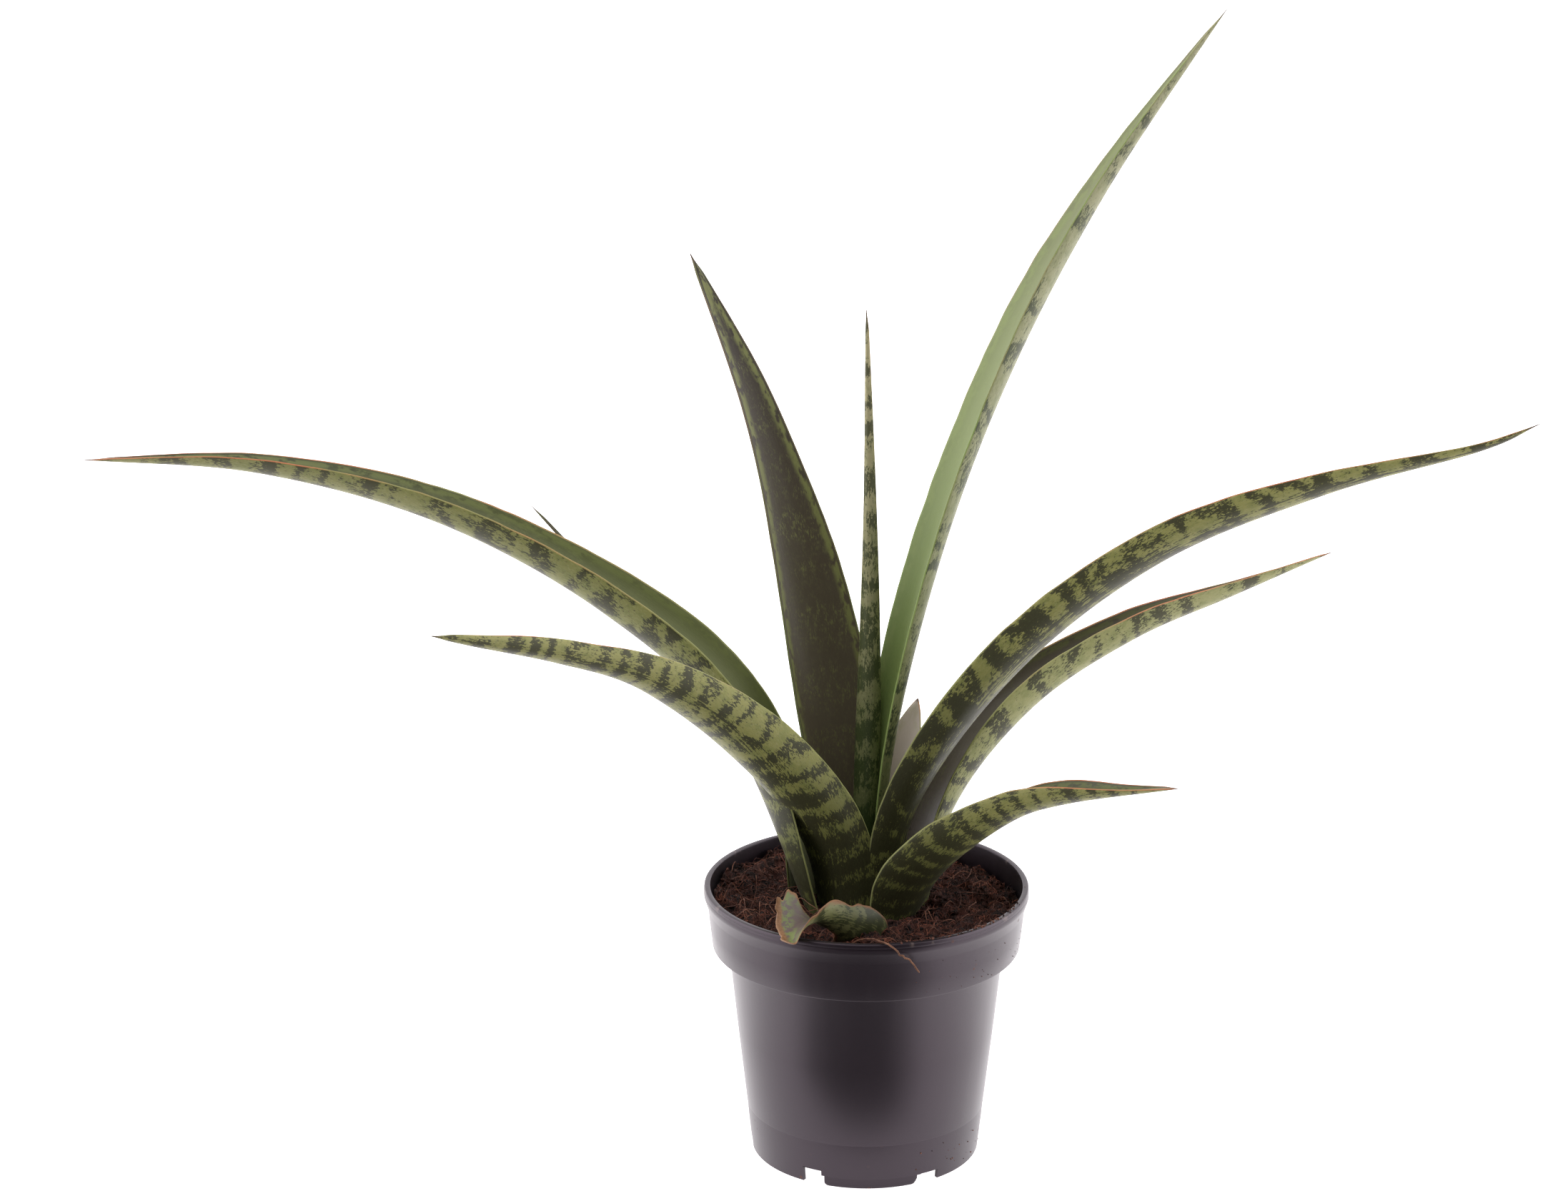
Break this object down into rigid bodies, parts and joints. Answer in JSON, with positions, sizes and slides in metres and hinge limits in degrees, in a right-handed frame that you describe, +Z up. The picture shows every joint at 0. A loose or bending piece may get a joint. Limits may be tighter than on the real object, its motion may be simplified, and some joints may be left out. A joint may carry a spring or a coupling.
{
  "type": "potted snake plant",
  "caption": "Snake plant with arching, channelled, banded leaves rising from coir soil in a plain tapered nursery pot that stands on inset feet.",
  "frame": {"origin": "centre of the plant's overall length and depth, on the surface the pot stands on; the pot's own axis is 28 mm towards +X and 6 mm towards +Y of it", "axes": "+Z up; +X to the right along the plant's widest spread; +Y away from the front, where the torn leaf hangs over the rim"},
  "size_m": [0.516, 0.2165, 0.4205],
  "materials": {
    "pot_plastic": "satin, injection moulded",
    "coir_soil": "loose fibrous coir potting mix, matte",
    "leaf_mature": "satin, dark and pale transverse bands, thin pale margin",
    "leaf_young": "satin, fresh green, faint bands",
    "leaf_broken": "dull, wrinkled, brown torn edge",
    "root": "dry, matte"
  },
  "bodies": {
    "root": {"pot": "pot_plastic", "soil": "coir_soil", "leaf_centre_rolled": "leaf_young", "leaf_right_tall": "leaf_mature", "leaf_back_broad": "leaf_mature", "leaf_right_long": "leaf_mature", "leaf_left_front": "leaf_mature", "leaf_back_young": "leaf_young", "leaf_left_long": "leaf_mature", "leaf_right_small": "leaf_mature", "leaf_left_rear": "leaf_mature", "leaf_right_mid": "leaf_mature", "leaf_broken_curled": "leaf_broken", "root_strand": "root"}
  },
  "joints": []
}
